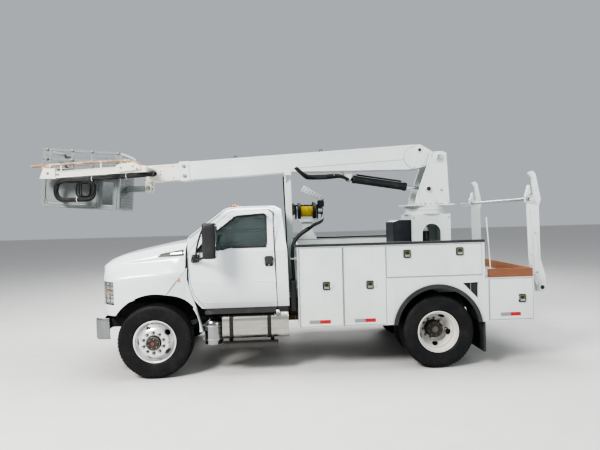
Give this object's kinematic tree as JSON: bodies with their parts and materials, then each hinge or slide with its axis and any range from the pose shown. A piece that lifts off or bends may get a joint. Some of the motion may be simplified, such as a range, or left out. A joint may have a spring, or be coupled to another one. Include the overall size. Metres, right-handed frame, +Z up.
{
  "type": "telescopic bucket truck for overhead line work",
  "caption": "Two-axle truck with a telescopic boom, levelled work platform, locker body and tail reel arms for overhead line work.",
  "frame": {"origin": "centre of the bounding box at ground level", "axes": "+X to the rear, +Y to the truck's right, +Z up"},
  "size_m": [7.6875, 2.8, 3.3837],
  "materials": {
    "white_paint": "gloss",
    "body_paint": "gloss",
    "boom_paint": "satin",
    "chassis_black": "satin",
    "chrome_trim": "polished",
    "wheel_white": "gloss",
    "tyre_rubber": "matte",
    "black_trim": "matte",
    "black_plastic": "satin",
    "dash_plastic": "matte",
    "seat_cloth": "matte",
    "pane": "clear",
    "lamp_lens": "clear",
    "amber_lens": "gloss",
    "tank_aluminium": "brushed",
    "board_wood": "matte",
    "engine_iron": "matte",
    "platform_grey": "satin",
    "bare_steel": "brushed"
  },
  "bodies": {
    "chassis": {"frame_rails": "chassis_black", "front_axle": "chassis_black", "rear_axle": "chassis_black", "bumper": "chrome_trim", "engine_block": "engine_iron", "cab_shell": "white_paint", "cab_glass": "pane", "dashboard": "dash_plastic", "seats": "seat_cloth", "fuel_tank": "tank_aluminium", "canister": "chrome_trim", "cab_steps": "chassis_black", "lockers_left": "body_paint", "lockers_right": "body_paint", "body_floor": "body_paint", "body_trim": "black_trim", "tail_boards": "board_wood", "boom_rest": "body_paint", "pedestal": "body_paint", "reservoir": "black_plastic", "winch": "body_paint", "lamps": "amber_lens"},
    "hood": {"hood": "white_paint", "grille": "black_plastic", "headlamps": "lamp_lens"},
    "knuckle_left": {"knuckle_left": "chassis_black"},
    "knuckle_right": {"knuckle_right": "chassis_black"},
    "front_wheel_left": {"front_rim_left": "wheel_white", "front_tyre_left": "tyre_rubber"},
    "front_wheel_right": {"front_rim_right": "wheel_white", "front_tyre_right": "tyre_rubber"},
    "rear_wheels_left": {"rear_rims_left": "wheel_white", "rear_tyres_left": "tyre_rubber"},
    "rear_wheels_right": {"rear_rims_right": "wheel_white", "rear_tyres_right": "tyre_rubber"},
    "cab_door_left": {"cab_door_left": "white_paint", "door_glass_left": "pane", "mirror_left": "black_plastic"},
    "cab_door_right": {"cab_door_right": "white_paint", "door_glass_right": "pane", "mirror_right": "black_plastic"},
    "turret": {"turret": "body_paint"},
    "outer_boom": {"outer_boom": "body_paint", "boom_fittings": "body_paint"},
    "inner_boom": {"inner_boom": "boom_paint", "side_arm": "boom_paint", "hose_loop": "black_trim"},
    "lift_barrel": {"lift_barrel": "chassis_black"},
    "lift_rod": {"lift_rod": "bare_steel"},
    "platform": {"platform": "platform_grey"},
    "reel_arms": {"reel_arms": "body_paint", "reel_spindle": "bare_steel"},
    "locker_door_left_1": {"locker_door_left_1": "body_paint"},
    "locker_door_left_2": {"locker_door_left_2": "body_paint"},
    "locker_door_left_3": {"locker_door_left_3": "body_paint"},
    "locker_door_left_4": {"locker_door_left_4": "body_paint"},
    "locker_door_right_1": {"locker_door_right_1": "body_paint"},
    "locker_door_right_2": {"locker_door_right_2": "body_paint"},
    "locker_door_right_3": {"locker_door_right_3": "body_paint"},
    "locker_door_right_4": {"locker_door_right_4": "body_paint"}
  },
  "joints": [
    {"name": "steer_left", "type": "hinge", "parent": "chassis", "child": "knuckle_left", "pos_m": [-1.8905, -0.85, 0.52], "axis": [0, 0, 1], "range_deg": [-35, 35]},
    {"name": "steer_right", "type": "hinge", "parent": "chassis", "child": "knuckle_right", "pos_m": [-1.8905, 0.85, 0.52], "axis": [0, 0, 1], "range_deg": [-35, 35]},
    {"name": "front_spin_left", "type": "hinge", "parent": "knuckle_left", "child": "front_wheel_left", "pos_m": [-1.8905, -1.05, 0.52], "axis": [0, 1, 0], "continuous": true},
    {"name": "front_spin_right", "type": "hinge", "parent": "knuckle_right", "child": "front_wheel_right", "pos_m": [-1.8905, 1.05, 0.52], "axis": [0, 1, 0], "continuous": true},
    {"name": "rear_spin_left", "type": "hinge", "parent": "chassis", "child": "rear_wheels_left", "pos_m": [2.1225, -0.92, 0.52], "axis": [0, 1, 0], "continuous": true},
    {"name": "rear_spin_right", "type": "hinge", "parent": "chassis", "child": "rear_wheels_right", "pos_m": [2.1225, 0.92, 0.52], "axis": [0, 1, 0], "continuous": true},
    {"name": "hood_tilt", "type": "hinge", "parent": "chassis", "child": "hood", "pos_m": [-2.5905, 0, 0.76], "axis": [0, -1, 0], "range_deg": [0, 45]},
    {"name": "cab_door_left_swing", "type": "hinge", "parent": "chassis", "child": "cab_door_left", "pos_m": [-1.4305, -1.012, 1.6], "axis": [0, 0, -1], "range_deg": [0, 65]},
    {"name": "cab_door_right_swing", "type": "hinge", "parent": "chassis", "child": "cab_door_right", "pos_m": [-1.4305, 1.012, 1.6], "axis": [0, 0, 1], "range_deg": [0, 65]},
    {"name": "turret_slew", "type": "hinge", "parent": "chassis", "child": "turret", "pos_m": [2.3595, 0, 2.238], "axis": [0, 0, 1], "continuous": true},
    {"name": "boom_lift", "type": "hinge", "parent": "turret", "child": "outer_boom", "pos_m": [2.5495, 0, 3.14], "axis": [0, 1, 0], "range_deg": [0, 75]},
    {"name": "boom_extend", "type": "slide", "parent": "outer_boom", "child": "inner_boom", "axis": [-0.9984, 0, -0.0558], "range_m": [0, 2.4]},
    {"name": "lift_barrel_swing", "type": "hinge", "parent": "outer_boom", "child": "lift_barrel", "pos_m": [1.0665, 0, 2.835], "axis": [0, 1, 0], "range_deg": [-10, 1]},
    {"name": "lift_rod_stroke", "type": "slide", "parent": "lift_barrel", "child": "lift_rod", "axis": [0.9868, 0, -0.1619], "range_m": [0, 0.6257]},
    {"name": "platform_level", "type": "hinge", "parent": "inner_boom", "child": "platform", "pos_m": [-2.2205, 0, 2.74], "axis": [0, 1, 0], "range_deg": [-76, 1]},
    {"name": "reel_arms_swing", "type": "hinge", "parent": "chassis", "child": "reel_arms", "pos_m": [3.7735, 0, 1.076], "axis": [0, 1, 0], "range_deg": [0, 95]},
    {"name": "locker_left_1_swing", "type": "hinge", "parent": "chassis", "child": "locker_door_left_1", "pos_m": [0.1495, -1.218, 1.2], "axis": [0, 0, -1], "range_deg": [0, 90]},
    {"name": "locker_left_2_swing", "type": "hinge", "parent": "chassis", "child": "locker_door_left_2", "pos_m": [0.7735, -1.218, 1.2], "axis": [0, 0, -1], "range_deg": [0, 90]},
    {"name": "locker_left_4_swing", "type": "hinge", "parent": "chassis", "child": "locker_door_left_4", "pos_m": [2.8665, -1.218, 0.96], "axis": [0, 0, -1], "range_deg": [0, 90]},
    {"name": "locker_left_3_drop", "type": "hinge", "parent": "chassis", "child": "locker_door_left_3", "pos_m": [2.0815, -1.218, 1.322], "axis": [1, 0, 0], "range_deg": [0, 90]},
    {"name": "locker_right_1_swing", "type": "hinge", "parent": "chassis", "child": "locker_door_right_1", "pos_m": [0.1495, 1.218, 1.2], "axis": [0, 0, 1], "range_deg": [0, 90]},
    {"name": "locker_right_2_swing", "type": "hinge", "parent": "chassis", "child": "locker_door_right_2", "pos_m": [0.7735, 1.218, 1.2], "axis": [0, 0, 1], "range_deg": [0, 90]},
    {"name": "locker_right_4_swing", "type": "hinge", "parent": "chassis", "child": "locker_door_right_4", "pos_m": [2.8665, 1.218, 0.96], "axis": [0, 0, 1], "range_deg": [0, 90]},
    {"name": "locker_right_3_drop", "type": "hinge", "parent": "chassis", "child": "locker_door_right_3", "pos_m": [2.0815, 1.218, 1.322], "axis": [-1, 0, 0], "range_deg": [0, 90]}
  ],
  "couplings": [
    {"joint": "steer_right", "follows": "steer_left", "ratio": 1},
    {"joint": "lift_barrel_swing", "follows": "boom_lift", "ratio": -0.11899},
    {"joint": "lift_rod_stroke", "follows": "boom_lift", "m_per_rad": 0.47648},
    {"joint": "platform_level", "follows": "boom_lift", "ratio": -1}
  ]
}
